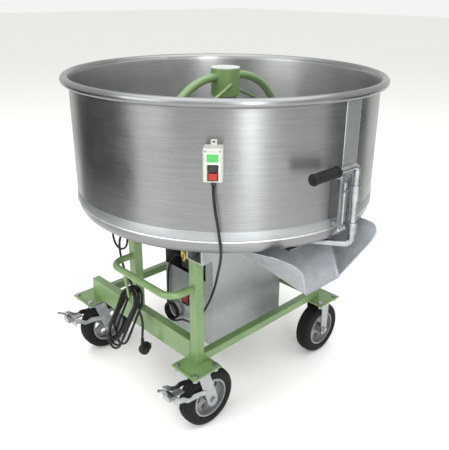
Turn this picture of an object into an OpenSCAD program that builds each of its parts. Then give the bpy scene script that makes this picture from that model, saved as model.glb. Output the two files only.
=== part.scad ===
/* [Drum] */
// Outer radius of the drum wall
drum_r = 510; // [508:1:511]
// Thickness of the drum sheet
sheet_t = 2; // [1.5:0.5:2.5]
// Height of the middle of the rolled rim
rim_z = 1074; // [1070:1:1090]
// Diameter of the rolled rim
rim_d = 26; // [22:1:28]
// Height of the seam between the wall and the bottom pan
seam_z = 686; // [685:1:687]
// Height of the flat underside of the pan
pan_z = 647; // [646:1:648]
// Height of the strip that covers the seam
band_h = 32; // [28:1:36]

/* [Agitator] */
// Outer radius of the hub
hub_r = 49; // [46:1:52]
// Height of the top of the hub
hub_top = 1095; // [1085:5:1100]
// Height of the hub's tube
hub_h = 90; // [80:5:100]
// Diameter of the arm tube
arm_d = 27; // [24:1:30]
// Radius of the arm's bend
arm_bend = 230; // [210:5:250]
// Outer radius of the centre column
column_r = 38.5; // [36:0.5:39]
// Radius of the drive shaft
shaft_r = 15; // [14:0.5:16]

/* [Frame] */
// Side of the square posts
post_w = 32; // [30:1:34]
// Height of the top of the posts
post_top = 600; // [590:1:605]
// Width of the frame's rails
rail_w = 28; // [25:1:30]
// Height of the beam on the handle side
beam_h = 75; // [70:1:80]
// Thickness of the beam on the handle side
beam_w = 30; // [28:1:32]
// Side of the caster plates
plate_w = 112; // [110:1:120]
// Spacing of the bolts in the caster plates
bolt_gap = 84; // [82:1:86]
// Diameter of the push handle's tube
handle_d = 22; // [20:1:25]
// Height of the push handle
handle_z = 500; // [480:5:520]

/* [Casters] */
// Outer diameter of the wheels
wheel_d = 200; // [196:1:200]
// Width of the tyres
tyre_w = 60; // [56:1:60]
// Distance from the swivel axis back to the axle
trail = 38; // [36:1:40]

/* [Discharge] */
// Distance from the drum's axis to the gate's pivot
pivot_r = 545; // [543:1:548]
// Diameter of the lever's tube
lever_d = 20; // [18:1:22]
// Length of the lever's upper arm, to the end of its grip
lever_reach = 205; // [190:5:215]
// Height of the lever's upper arm
lever_z = 878; // [870:1:890]
// Length of the pan's discharge opening
opening_l = 150; // [130:5:150]
// Width of the pan's discharge opening
opening_w = 100; // [80:5:100]

/* [Hidden] */
$fn = 64;

green = [0.49, 0.63, 0.4];
steel = [0.72, 0.73, 0.74];
zinc = [0.8, 0.81, 0.83];
black = [0.1, 0.1, 0.1];

// The machine's origin is the middle of its footprint, so the drum's axis stands behind it
grip_flange_r = 17;
rim_reach = drum_r + rim_d;
axis_y = (pivot_r + grip_flange_r - rim_reach) / 2;

// Frame lines, measured from the drum's axis
handle_side = -372;
far_side = 254;
near_side = -266;
left_side = 336;
plate_top = 234;
plate_t = 6;
plate_inset = 2;
left_post_y = 45;
back_post_y = 19;
near_caster = [handle_side, near_side + plate_inset];
left_caster = [handle_side, left_side];
right_caster = [far_side, near_side + plate_inset];
back_caster = [far_side, left_side];
caster_spots = [near_caster, left_caster, right_caster, back_caster];
wall_t = 3;

wheel_r = wheel_d / 2;
axle_r = 6;
leg_y = 33;
leg_t = 4;
crown_z = 210;
race_gap = 0.3;
top_plate_z = plate_top - plate_t - 4;
fit_gap = 0.05;
rim_r = 66;

gate_spot = [0, -pivot_r];
gate_angle = 125;
gate_reach = 170;
opening_spot = gate_spot + gate_reach * [cos(gate_angle), sin(gate_angle)];
gate_z = pan_z - 5;
lower_arm_z = gate_z - lever_d / 2 - 1;
elbow_r = 22;
grip_l = 110;

gear_m = 3;
gear_teeth = 50;
pinion_teeth = 12;
gear_gap = gear_m * (gear_teeth + pinion_teeth) / 2;
motor_x = -gear_gap;

switch_angle = 223;
switch_z = 878;
switch_w = 50;
switch_h = 88;
switch_d = 54;
wall_gap = 0.3;

housing_x = 178;
housing_y = 130;
housing_low = 140;
housing_top = pan_z - 4;

chute_x = -60;
lip_y = -500;
lip_z = 491;
lip_half = 82;
floor_slope = 0.82;
flare_back = [0.208, -0.12];
flare_up = [0.7, 1.1];
chute_back = -325;
chute_top = 640;
corner_y = -538;

cord_d = 8;
mains_start = [-120, 150, 600];
mains_route = [
    [-120, 150, 600], [-120, 172, 600], [-140, 200, 604], [-190, 225, 618], [-250, 240, 622],
    [-302, 244, 600], [-330, 236, 550], [-342, 214, 500], [-346, 180, 480], [-348, 145, 490],
    [-350, 122, 512], [-352, 112, 545], [-362, 104, 566],
    [-378, 98, 574], [-394, 92, 564], [-402, 86, 540], [-404, 78, 500],
    [-404, 62, 462], [-404, 40, 434], [-404, 18, 418]
];
plug_route = [
    [-417, -30, 352], [-413, -35, 325], [-410, -36, 298], [-410, -34, 270], [-410, -31, 250],
    [-410, -30, 236]
];
hank_top = [-405, 0, 412];
hank_lean = [16, 16, 0];
hank_l = 242;
hank_w = 88;
hank_t = 42;
plug_spot = [-410, -30, 236];
switch_route = [
    [-397.9, -371.4, 861], [-397.5, -371.5, 840], [-395, -374, 800], [-390, -379, 755], [-382, -380, 705],
    [-366, -368, 660], [-348, -346, 615], [-328, -316, 565], [-312, -288, 510],
    [-302, -258, 450], [-292, -218, 385], [-276, -165, 320], [-252, -105, 266],
    [-224, -45, 228], [-208, 2, 208], [-208, 34, 188], [-205, 60, 176]
];
coil_spot = [-196, 80, 206];
coil_r = 33;
coil_w = 26;
tail_route = [
    [-188, 113, 216], [-188, 112, 250], [-187, 110, 300], [-186, 107, 350], [-183, 102, 385],
    [-175, 94, 414], [-167, 78, 431], [-164, 64, 434], [-164, 52, 434]
];

module at_axis() {
    translate([0, axis_y, 0]) children();
}

// Straight round bar from p to q
module bar(p, q, d) {
    v = q - p;
    translate(p)
        rotate([0, acos(v[2] / norm(v)), atan2(v[1], v[0])])
            cylinder(d = d, h = norm(v));
}

module box(low, high) {
    translate(low) cube(high - low);
}

module ring(outer, inner, low, high) {
    difference() {
        translate([0, 0, low]) cylinder(r = outer, h = high - low, $fn = 128);
        translate([0, 0, low - 1]) cylinder(r = inner, h = high - low + 2, $fn = 128);
    }
}

module rect_tube(low, high, t, along) {
    inset = [for (i = [0:2]) i == along ? -1 : t];
    difference() {
        box(low, high);
        box(low + inset, high - inset);
    }
}

// Points of a smooth curve through a route, two steps for each of its stretches
function curve_point(a, b, c, d, t) =
    0.5 * (2 * b + (c - a) * t + (2 * a - 5 * b + 4 * c - d) * t * t + (3 * b - a - 3 * c + d) * t * t * t);
function smooth(r) = [
    for (i = [0:len(r) - 2], t = [0, 0.5])
        curve_point(r[max(i - 1, 0)], r[i], r[i + 1], r[min(i + 2, len(r) - 1)], t),
    r[len(r) - 1]
];
function unit(v) = v / norm(v);
function heading(r, i) = unit(r[min(i + 1, len(r) - 1)] - r[max(i - 1, 0)]);
function side_list(r, i, n) =
    i == len(r) ? [] :
    let (t = heading(r, i), m = unit(n - (n * t) * t)) concat([m], side_list(r, i + 1, m));

// Round tube carried along a route, as one closed skin
module swept_tube(route, d, sides) {
    r = smooth(route);
    n = len(r);
    start = heading(r, 0);
    normals = side_list(r, 0, unit(cross(start, [0.3, 0.5, 0.81])));
    points = [
        for (i = [0:n - 1], k = [0:sides - 1])
            let (b = cross(heading(r, i), normals[i]), a = 360 * k / sides)
                r[i] + d / 2 * (cos(a) * normals[i] + sin(a) * b)
    ];
    skin = [
        for (i = [0:n - 2], k = [0:sides - 1])
            let (a = i * sides + k, b = i * sides + (k + 1) % sides)
                [a, a + sides, b + sides, b]
    ];
    ends = [[for (k = [0:sides - 1]) k], [for (k = [sides - 1:-1:0]) (n - 1) * sides + k]];
    polyhedron(points, concat(skin, ends));
}

// Outline of a spur gear with straight-sided teeth
function gear_outline(teeth, slack) = [
    for (i = [0:teeth - 1], p = [[-3.2, -1.12], [-1.0, 1.0], [1.0, 1.0], [3.2, -1.12]])
        let (
            half = (PI * gear_m / 2 - slack) / 2,
            out = p[1] * gear_m * 0.9,
            wide = sign(p[0]) * (half - out * 0.364),
            r = gear_m * teeth / 2 + out,
            a = 360 * i / teeth + wide / r * 180 / PI
        )
            r * [cos(a), sin(a)]
];

module hex_bolt(spot, head_up, grip, thread) {
    translate(spot) mirror([0, 0, head_up ? 0 : 1]) {
        cylinder(r = 9, h = 6, $fn = 6);
        translate([0, 0, -grip]) cylinder(r = 5, h = grip);
        if (thread > 0) {
            translate([0, 0, -grip - thread]) cylinder(r = 5, h = thread);
            translate([0, 0, -grip - 8]) cylinder(r = 9, h = 8, $fn = 6);
        }
    }
}

// Welded frame

module cross_beams() {
    color(green) at_axis() {
        rect_tube([handle_side, near_side + post_w, plate_top],
            [handle_side + beam_w, left_side, plate_top + beam_h], wall_t, 1);
        rect_tube([far_side - rail_w, near_side + rail_w, plate_top],
            [far_side, left_side - rail_w, plate_top + rail_w], wall_t, 1);
    }
}

module side_rails() {
    color(green) at_axis() {
        rect_tube([handle_side + post_w, near_side, plate_top],
            [far_side, near_side + rail_w, plate_top + rail_w], wall_t, 0);
        rect_tube([handle_side + beam_w, left_side - rail_w, plate_top],
            [far_side, left_side, plate_top + rail_w], wall_t, 0);
    }
}

module post(x, y, foot) {
    rect_tube([x, y, foot], [x + post_w, y + post_w, post_top], wall_t, 2);
}

module posts() {
    color(green) at_axis() {
        post(handle_side, near_side, plate_top);
        post(handle_side, left_post_y, plate_top + beam_h);
        post(far_side - post_w, back_post_y, plate_top + rail_w);
    }
}

module bolt_spots(spot) {
    for (sx = [-1, 1], sy = [-1, 1])
        translate([spot[0] + sx * bolt_gap / 2, spot[1] + sy * bolt_gap / 2, 0]) children();
}

module caster_plates() {
    color(green) at_axis()
        for (spot = caster_spots)
            difference() {
                translate([spot[0] - plate_w / 2, spot[1] - plate_w / 2, plate_top - plate_t])
                    cube([plate_w, plate_w, plate_t]);
                bolt_spots(spot) translate([0, 0, plate_top - plate_t - 1]) cylinder(r = 5.5, h = plate_t + 2);
            }
}

handle_out = handle_side - 84;
handle_bend = 45;
near_leg_y = near_side + post_w / 2;
left_leg_y = left_post_y + post_w / 2;

module elbow(centre, bend, d, from, sweep) {
    translate(centre) rotate([0, 0, from])
        rotate_extrude(angle = sweep, $fn = 96) translate([bend, 0]) circle(d = d, $fn = 32);
}

module push_handle() {
    inner_x = handle_out + handle_bend;
    color(green) at_axis() {
        bar([handle_side, near_leg_y, handle_z], [inner_x, near_leg_y, handle_z], handle_d);
        elbow([inner_x, near_leg_y + handle_bend, handle_z], handle_bend, handle_d, 180, 90);
        bar([handle_out, near_leg_y + handle_bend, handle_z],
            [handle_out, left_leg_y - handle_bend, handle_z], handle_d);
        elbow([inner_x, left_leg_y - handle_bend, handle_z], handle_bend, handle_d, 90, 90);
        bar([inner_x, left_leg_y, handle_z], [handle_side, left_leg_y, handle_z], handle_d);
        bar([handle_out + 2, -12, handle_z - 6], [-433, 0, 392], 8);
        bar([-435, -1, 397], [-388, 3, 397], 7);
    }
}

module drum_bracket(x, y) {
    translate([x, y, 0]) difference() {
        box([-25, -35, post_top], [25, 35, pan_z]);
        box([-26, -29, post_top + 5], [19, 29, pan_z - 5]);
        for (s = [-1, 1]) translate([-3, s * 18, pan_z - 6]) cylinder(r = 5.5, h = 7);
    }
}

bracket_spots = [
    [handle_side + post_w / 2, near_leg_y - 20], [handle_side + post_w / 2, left_leg_y],
    [far_side - post_w / 2, back_post_y + post_w / 2]
];

module drum_brackets() {
    color(zinc) at_axis()
        for (spot = bracket_spots) drum_bracket(spot[0], spot[1]);
}

// Drum

module drum_wall() {
    color(steel) at_axis() rotate_extrude($fn = 180) {
        translate([drum_r - sheet_t, seam_z]) square([sheet_t, rim_z - seam_z]);
        translate([drum_r + rim_d / 2, rim_z]) difference() {
            circle(d = rim_d, $fn = 48);
            circle(d = rim_d - 2 * sheet_t, $fn = 48);
        }
    }
}

module drum_band() {
    color(steel) at_axis() ring(drum_r + 1.5, drum_r, seam_z, seam_z + band_h);
}

corner_w = 18;
pan_edge = [for (a = [0:15:90]) [drum_r - corner_w + corner_w * sin(a), seam_z - (seam_z - pan_z) * cos(a)]];
pan_inner = [for (a = [90:-15:0]) [drum_r - corner_w + (corner_w - 3) * sin(a), seam_z - (seam_z - pan_z - 3) * cos(a)]];

module drum_pan() {
    color(steel) at_axis() difference() {
        rotate_extrude($fn = 180) polygon(concat([[20, pan_z]], pan_edge, pan_inner, [[20, pan_z + 3]]));
        translate([opening_spot[0] - opening_l / 2, opening_spot[1] - opening_w / 2, pan_z - 1])
            cube([opening_l, opening_w, 5]);
    }
}

pan_floor = pan_z + 3;

module centre_column() {
    color(steel) at_axis() {
        ring(column_r, column_r - 5.5, pan_floor, hub_top - 65);
        difference() {
            ring(75, column_r - 5.5, pan_floor, pan_floor + 8);
            for (a = [45:90:315]) rotate(a) translate([58, 0, pan_floor - 1]) cylinder(r = 5.5, h = 10);
        }
    }
}

module shaft_bearings() {
    color(steel) at_axis()
        for (z = [pan_floor + 14, hub_top - 90])
            ring(column_r - 5.5, shaft_r + fit_gap, z, z + 20);
}

// Agitator

web_z = hub_top - 40;

module agitator_hub() {
    color(green) at_axis() {
        ring(hub_r, hub_r - 7, hub_top - hub_h, hub_top);
        ring(hub_r - 6, shaft_r, web_z, web_z + 12);
    }
}

module hub_cap() {
    color([0.85, 0.86, 0.86]) at_axis() translate([0, 0, hub_top]) cylinder(r = hub_r, h = 3);
}

arm_z = hub_top - 27;
arm_x = hub_r - 2 + arm_bend;
arm_foot = pan_floor + 50;

module mixing_arm() {
    difference() {
        union() {
            translate([hub_r - 2, 0, arm_z - arm_bend]) rotate([90, 0, 0])
                rotate_extrude(angle = 90, $fn = 96) translate([arm_bend, 0]) circle(d = arm_d, $fn = 32);
            bar([arm_x, 0, arm_foot], [arm_x, 0, arm_z - arm_bend], arm_d);
            bar([30, 0, arm_z], [hub_r - 2, 0, arm_z], arm_d);
        }
        translate([0, 0, hub_top - hub_h]) cylinder(r = hub_r, h = hub_h, $fn = 128);
    }
}

module mixing_arms() {
    color(green) at_axis() for (a = [0, 180]) rotate(a) mixing_arm();
}

blade_l = 220;
blade_tilt = 35;

module mixing_blade() {
    difference() {
        translate([arm_x, -4, pan_floor + 5]) rotate([-blade_tilt, 0, 0])
            translate([-blade_l / 2, -4, 0]) cube([blade_l, 8, 84]);
        translate([arm_x, 0, arm_foot]) cylinder(d = arm_d, h = 60);
        translate([0, 0, pan_z]) cylinder(r = drum_r, h = pan_floor + 4 - pan_z);
    }
}

module mixing_blades() {
    color(green) at_axis() for (a = [0, 180]) rotate(a) mixing_blade();
}

scraper_spot = [484, 128];
scraper_top = 880;
scraper_low = pan_floor + 25;

module wall_scraper() {
    link_z = arm_foot + 70;
    turn = atan2(scraper_spot[1], scraper_spot[0]);
    difference() {
        bar([18, 46, 1045], [scraper_spot[0], scraper_spot[1], 858], 11);
        translate([0, 0, hub_top - hub_h]) cylinder(r = hub_r, h = hub_h, $fn = 128);
    }
    difference() {
        bar([arm_x, 0, link_z], [scraper_spot[0], scraper_spot[1], link_z], 11);
        translate([arm_x, 0, arm_foot]) cylinder(d = arm_d, h = 150);
    }
    translate([scraper_spot[0], scraper_spot[1], scraper_low]) rotate(turn)
        translate([-4, -15, 0]) cube([8, 30, scraper_top - scraper_low]);
}

module wall_scrapers() {
    color(green) at_axis() for (a = [0, 180]) rotate(a) wall_scraper();
}

shaft_low = 522;

module drive_shaft() {
    color(steel) at_axis() translate([0, 0, shaft_low])
        cylinder(r = shaft_r, h = hub_top - 12 - shaft_low);
}

// Drive

gear_low = 580;
case_low = 520;
case_top = pan_z - 10;
case_x = [-130, 92];
case_y = 92;

module output_gear() {
    color(steel) at_axis() difference() {
        translate([0, 0, gear_low]) linear_extrude(24) polygon(gear_outline(gear_teeth, 1.2));
        translate([0, 0, gear_low - 1]) cylinder(r = shaft_r, h = 26);
    }
}

module pinion_shaft() {
    color(steel) at_axis() translate([motor_x, 0, 0]) {
        translate([0, 0, 345]) cylinder(r = 9, h = gear_low + 30 - 345);
        translate([0, 0, gear_low - 2]) linear_extrude(28)
            rotate(180 + 180 / pinion_teeth) polygon(gear_outline(pinion_teeth, 1.2));
    }
}

module gear_case() {
    color([0.35, 0.36, 0.37]) at_axis() difference() {
        box([case_x[0], -case_y, case_low], [case_x[1], case_y, case_top]);
        box([case_x[0] + 8, -case_y + 8, case_low + 12], [case_x[1] - 8, case_y - 8, case_top + 1]);
        translate([0, 0, case_low - 1]) cylinder(r = shaft_r + fit_gap, h = 20);
        translate([motor_x, 0, case_low - 1]) cylinder(r = 9 + fit_gap, h = 20);
    }
}

module gear_cover() {
    color([0.35, 0.36, 0.37]) at_axis() difference() {
        box([case_x[0], -case_y, case_top], [case_x[1], case_y, pan_z]);
        translate([0, 0, case_top - 1]) cylinder(r = shaft_r + 2, h = 12);
    }
}

motor_low = 335;

module motor_body() {
    color(black) at_axis() translate([motor_x, 0, 0]) difference() {
        union() {
            translate([0, 0, motor_low]) cylinder(r = 66, h = case_low - motor_low);
            for (a = [0:15:345]) rotate(a)
                translate([60, -1.5, motor_low + 45]) cube([14, 3, case_low - motor_low - 70]);
            translate([0, 0, case_low - 14]) cylinder(r = 72, h = 14);
            box([-164 - motor_x - 7, -35, 396], [-150 - motor_x, 44, 478]);
        }
        translate([0, 0, motor_low + 10]) cylinder(r = 9 + fit_gap, h = case_low);
    }
}

panel_top = 388;
rocker_spot = [-184, 11, 286];
rocker_pin = 2.2;

module switch_panel() {
    color(steel) at_axis() difference() {
        box([-housing_x, -housing_y + 38.5, housing_low], [2 - housing_x, housing_y - 2, panel_top]);
        translate(rocker_spot) box([-2, -15.5, -25.5], [20, 15.5, 25.5]);
    }
}

module rocker_switch() {
    color([0.75, 0.12, 0.1]) at_axis() translate(rocker_spot) rotate([90, 0, 0]) {
        linear_extrude(22, center = true)
            polygon([[0, -17], [5.5, -18], [5.5, 18], [0, 17], [-5, 16], [-2.5, 0], [-6, -16]]);
        translate([2.5, 0, -13]) cylinder(r = rocker_pin, h = 26);
    }
}

module housing_near_panel() {
    color(steel) at_axis() {
        box([-housing_x, -housing_y, housing_low], [housing_x, -housing_y + 2, housing_top]);
        box([-housing_x, -housing_y, housing_low], [-housing_x + 2, -housing_y + 38, housing_top]);
    }
}

module housing_rear_panels() {
    color(steel) at_axis() {
        difference() {
            box([-housing_x, housing_y - 1.5, housing_low], [housing_x, housing_y + 0.5, housing_top]);
            translate([mains_start[0], housing_y, mains_start[2]]) rotate([90, 0, 0])
                cylinder(r = 7, h = 10, center = true);
        }
        box([housing_x - 2, -housing_y + 2, housing_low], [housing_x, housing_y - 2.5, housing_top]);
    }
}

module housing_floor() {
    color(steel) at_axis()
        box([-housing_x + 2, -housing_y + 2, housing_low], [housing_x - 2.5, housing_y - 2.5, housing_low + 2]);
}

module eye_bolt() {
    color([0.82, 0.7, 0.32]) at_axis() translate([-350, -185, 0]) {
        translate([0, 0, 584]) rotate([90, 0, 65])
            rotate_extrude($fn = 64) translate([17, 0]) circle(d = 7, $fn = 24);
        translate([0, 0, 602]) cylinder(d = 9, h = pan_z - 602);
    }
}

module hex_bolts() {
    color(zinc) at_axis() {
        for (spot = caster_spots) bolt_spots(spot)
            hex_bolt([0, 0, plate_top], true, 10, 10);
        for (spot = bracket_spots, s = [-1, 1])
            hex_bolt([spot[0] - 3, spot[1] + s * 18, pan_z - 5], false, 5, 0);
        for (a = [45:90:315]) rotate(a) hex_bolt([58, 0, pan_floor + 8], true, 8, 0);
        for (spot = chute_tabs) hex_bolt([spot[0], spot[1], chute_top - 1], false, pan_z - chute_top + 1, 0);
    }
}

// Switch on the drum wall

module on_wall(z) {
    at_axis() rotate(switch_angle) translate([drum_r + wall_gap, 0, z]) children();
}

module switch_base() {
    color([0.9, 0.9, 0.88]) on_wall(switch_z) {
        box([0, -switch_w / 2, 0], [14, switch_w / 2, switch_h]);
        difference() {
            box([0, -8, switch_h], [4, 8, switch_h + 14]);
            translate([-1, 0, switch_h + 7]) rotate([0, 90, 0]) cylinder(r = 3, h = 6);
        }
    }
}

recess_y = 15;
button_half = 11.5;
on_low = 27;
off_low = 6;
button_h = 18;
button_face = switch_d - 3;

module switch_cover() {
    color([0.9, 0.9, 0.88]) on_wall(switch_z) difference() {
        union() {
            box([14, -switch_w / 2, 0], [switch_d - 6, switch_w / 2, switch_h]);
            box([switch_d - 6.1, -switch_w / 2 + 4, 2], [switch_d, switch_w / 2 - 4, switch_h - 8]);
        }
        box([switch_d - 12, -recess_y, 4], [switch_d + 1, recess_y, 48]);
        for (z = [on_low, off_low])
            box([20, -button_half - 0.5, z - 0.5], [switch_d, button_half + 0.5, z + button_h + 0.5]);
    }
}

module button(z) {
    on_wall(switch_z) box([26, -button_half, z], [button_face, button_half, z + button_h]);
}

module on_button() {
    color(black) button(on_low);
}

module off_button() {
    color([0.75, 0.12, 0.1]) button(off_low);
}

module black_fittings() {
    color(black) {
        on_wall(switch_z) translate([26, 0, -17]) {
            difference() {
                union() {
                    cylinder(r1 = 5.5, r2 = 8, h = 12);
                    translate([0, 0, 12]) cylinder(r = 9, h = 5, $fn = 6);
                }
            }
        }
        at_axis() translate([mains_start[0], housing_y + 0.5, mains_start[2]]) rotate([-90, 0, 0]) {
            cylinder(r = 11, h = 6, $fn = 6);
            translate([0, 0, 6]) cylinder(r1 = 9, r2 = 5.5, h = mains_start[1] - housing_y - 6.5);
        }
        at_axis() translate(rocker_spot) difference() {
            union() {
                box([-5, -18, -28], [6, 18, 28]);
                box([6, -15, -25], [20, 15, 25]);
            }
            box([-6, -12, -22], [13, 12, 22]);
            translate([2.5, 14, 0]) rotate([90, 0, 0]) cylinder(r = rocker_pin + fit_gap, h = 28);
        }
        at_axis() translate([-164, 44, 434]) rotate([-90, 0, 0]) cylinder(r = 7, h = 8);
    }
}

// Discharge chute, lever and gate

function chute_half(side, y, z) = lip_half + flare_back[side] * (y - lip_y) + flare_up[side] * (z - lip_z);
function floor_z(y) = lip_z + floor_slope * (y - lip_y);
front_edge = [
    [-488, chute_top], [-508, chute_top - 2], [-524, chute_top - 8], [-534, chute_top - 17],
    [corner_y, chute_top - 30], [corner_y + 2, chute_top - 50], [lip_y, lip_z]
];
back_edge = [for (k = [0:6]) [chute_back, chute_top - k * (chute_top - floor_z(chute_back)) / 6]];
function section(edge) = concat(
    [for (p = edge) [chute_x - chute_half(0, p[0], p[1]), p[0], p[1]]],
    [for (k = [len(edge) - 1:-1:0]) [chute_x + chute_half(1, edge[k][0], edge[k][1]), edge[k][0], edge[k][1]]]
);
chute_tabs = [[-248, -385], [148, -385]];
tab_edges = [chute_x - chute_half(0, -385, chute_top) + 11, chute_x + chute_half(1, -385, chute_top) - 11];

module folded_sheet(front, back, skin) {
    n = len(front);
    points = concat(front, back, front + skin, back + skin);
    strip = [for (i = [0:n - 2]) each [
        [i, n + i, i + 1], [i + 1, n + i, n + i + 1],
        [2 * n + i, 2 * n + i + 1, 3 * n + i], [2 * n + i + 1, 3 * n + i + 1, 3 * n + i],
        [i, i + 1, 2 * n + i], [i + 1, 2 * n + i + 1, 2 * n + i],
        [n + i, 3 * n + i, n + i + 1], [n + i + 1, 3 * n + i, 3 * n + i + 1]
    ]];
    ends = [
        [0, 2 * n, n], [n, 2 * n, 3 * n],
        [n - 1, 2 * n - 1, 3 * n - 1], [2 * n - 1, 4 * n - 1, 3 * n - 1]
    ];
    polyhedron(points, concat(strip, ends));
}

module chute() {
    last = len(front_edge) - 1;
    wall_skin = [1.6, 0, -1.4];
    fold_skin = [0.9, 0, -2.2];
    right_skin = [for (k = [last:-1:0]) k == last ? fold_skin : wall_skin];
    skin = concat([for (k = [last:-1:0]) [-right_skin[k][0], 0, right_skin[k][2]]], right_skin);
    color(steel) at_axis() {
        folded_sheet(section(front_edge), section(back_edge), skin);
        for (side = [0, 1]) {
            spot = chute_tabs[side];
            difference() {
                for (x = [spot[0], tab_edges[side]])
                    box([x - 12, spot[1] - 12, chute_top - 1], [x + 12, spot[1] + 12, pan_z]);
                translate([spot[0], spot[1], chute_top - 2]) cylinder(r = 5.5, h = pan_z - chute_top + 3);
            }
        }
    }
}

sleeve_r = 14;
sleeves = [[666, 702], [771, 818]];

module lever_bracket() {
    color(zinc) at_axis() {
        for (s = sleeves) {
            difference() {
                union() {
                    translate([0, -pivot_r, s[0]]) cylinder(r = sleeve_r, h = s[1] - s[0]);
                    box([-8, -pivot_r, s[1] - 22], [0, -pivot_r + 16, s[1] - 4]);
                }
                translate([0, -pivot_r, s[0] - 1]) cylinder(r = lever_d / 2 + fit_gap, h = s[1] - s[0] + 2);
            }
        }
        box([-55, -535, 700], [-45, -528, 855]);
        box([-16, -535, 700], [-8, -528, 848]);
        bar([-30, -528, 694], [-30, -528, 822], 9);
        translate([-30, -528, 822]) cylinder(r = 9, h = 8, $fn = 6);
        for (x = [-50, -36, -22]) translate([x, -531, 684]) cylinder(r = 6.5, h = 9, $fn = 6);
        box([-58, -534.5, 693], [-2, -522, 700]);
        box([-58, -529, 700], [-52, -drum_r, 712]);
        box([-58, -529, 843], [-52, -drum_r + 2, 855]);
        box([-55, -534.5, 800], [-2, -528, 806]);
    }
}

module gate_lever() {
    arm = [cos(gate_angle), sin(gate_angle)];
    color(zinc) at_axis() {
        bar([0, -pivot_r, lower_arm_z + elbow_r], [0, -pivot_r, lever_z - elbow_r], lever_d);
        translate([-elbow_r, -pivot_r, lever_z - elbow_r]) rotate([90, 0, 0])
            rotate_extrude(angle = 90, $fn = 64) translate([elbow_r, 0]) circle(d = lever_d, $fn = 32);
        bar([-elbow_r, -pivot_r, lever_z], [-lever_reach + 6, -pivot_r, lever_z], lever_d);
        translate([0, -pivot_r, 0]) rotate(gate_angle) {
            translate([elbow_r, 0, lower_arm_z + elbow_r]) rotate([90, 0, 0]) rotate(180)
                rotate_extrude(angle = 90, $fn = 64) translate([elbow_r, 0]) circle(d = lever_d, $fn = 32);
            bar([elbow_r, 0, lower_arm_z], [gate_reach, 0, lower_arm_z], lever_d);
            box([gate_reach - 60, -5, lower_arm_z], [gate_reach, 5, gate_z]);
        }
    }
}

module lever_grip() {
    color(black) at_axis() translate([-lever_reach, -pivot_r, lever_z]) rotate([0, 90, 0]) difference() {
        union() {
            cylinder(r = grip_flange_r, h = 5);
            cylinder(r = 15, h = grip_l);
            translate([0, 0, grip_l - 5]) cylinder(r = grip_flange_r, h = 5);
        }
        translate([0, 0, 6]) cylinder(r = lever_d / 2, h = grip_l);
    }
}

module gate_plate() {
    x = opening_l / 2 + 18;
    y = opening_w / 2 + 14;
    color(steel) at_axis() translate([opening_spot[0], opening_spot[1], gate_z])
        linear_extrude(4) polygon([[-x, -y], [x, -y], [x, y], [-x + 40, y], [-x + 12, y - 12], [-x, y - 40]]);
}

// Casters

function wheel_spot(caster, swivel) = [caster[0] + (swivel ? trail : 0), caster[1], wheel_r];

module tyre(spot) {
    tread = [[100, -14], [98.4, -13], [98.4, -10], [100, -9], [100, -2], [98.4, -1.5], [98.4, 1.5],
        [100, 2], [100, 9], [98.4, 10], [98.4, 13], [100, 14]];
    shoulder = [[97, 21], [91, 27], [82, 30], [74, 29], [rim_r, 24]];
    flip = [for (i = [len(shoulder) - 1:-1:0]) [shoulder[i][0], -shoulder[i][1]]];
    scale_r = wheel_r / 100;
    color(black) at_axis() translate(spot) rotate([90, 0, 0]) rotate_extrude($fn = 120)
        polygon([for (p = concat(flip, tread, shoulder)) [p[0] == rim_r ? rim_r : p[0] * scale_r, p[1] * tyre_w / 60]]);
}

module wheel_rim(spot) {
    color([0.75, 0.76, 0.77]) at_axis() translate(spot) rotate([90, 0, 0]) difference() {
        union() {
            ring(rim_r, rim_r - 6, -25, 25);
            translate([0, 0, -5]) cylinder(r = rim_r - 4, h = 10);
            translate([0, 0, -30]) cylinder(r = 17, h = 60);
        }
        translate([0, 0, -31]) cylinder(r = axle_r + fit_gap, h = 62);
        for (a = [36:72:324]) rotate(a) translate([39, 0, -6]) cylinder(r = 13, h = 12);
    }
}

module axle(spot) {
    at_axis() translate(spot) rotate([90, 0, 0]) {
        translate([0, 0, -leg_y - leg_t]) cylinder(r = axle_r, h = 2 * (leg_y + leg_t));
        for (s = [-1, 1]) translate([0, 0, s * (leg_y + leg_t + 4) - 4]) cylinder(r = 10, h = 8, $fn = 6);
    }
}

module fork_leg(outline, spot) {
    for (s = [-1, 1]) translate([0, s * (leg_y + leg_t / 2), 0]) rotate([90, 0, 0])
        translate([0, 0, -leg_t / 2]) difference() {
            linear_extrude(leg_t) polygon(outline);
            translate([spot, wheel_r, -1]) cylinder(r = axle_r, h = leg_t + 2);
        }
}

brake_x = -104;
pedal_z = 178;
strap = [[8, 138], [8, 153], [-16, 164], [-42, 169], [-56, 163], [-70, 168], [-88, 183], [brake_x, 187],
    [brake_x, 168], [-86, 162], [-70, 151], [-48, 149], [-20, 147]];
pin_x = brake_x - 3 - race_gap - 8;
pin_r = 2.95;
pedal_centre = [-36.1, 0, pedal_z + 12.5];
pedal_bend = pedal_centre + 20 * [cos(28), 0, sin(28)];
pedal_rise = pedal_centre + 20 * [cos(58), 0, sin(58)];

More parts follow.
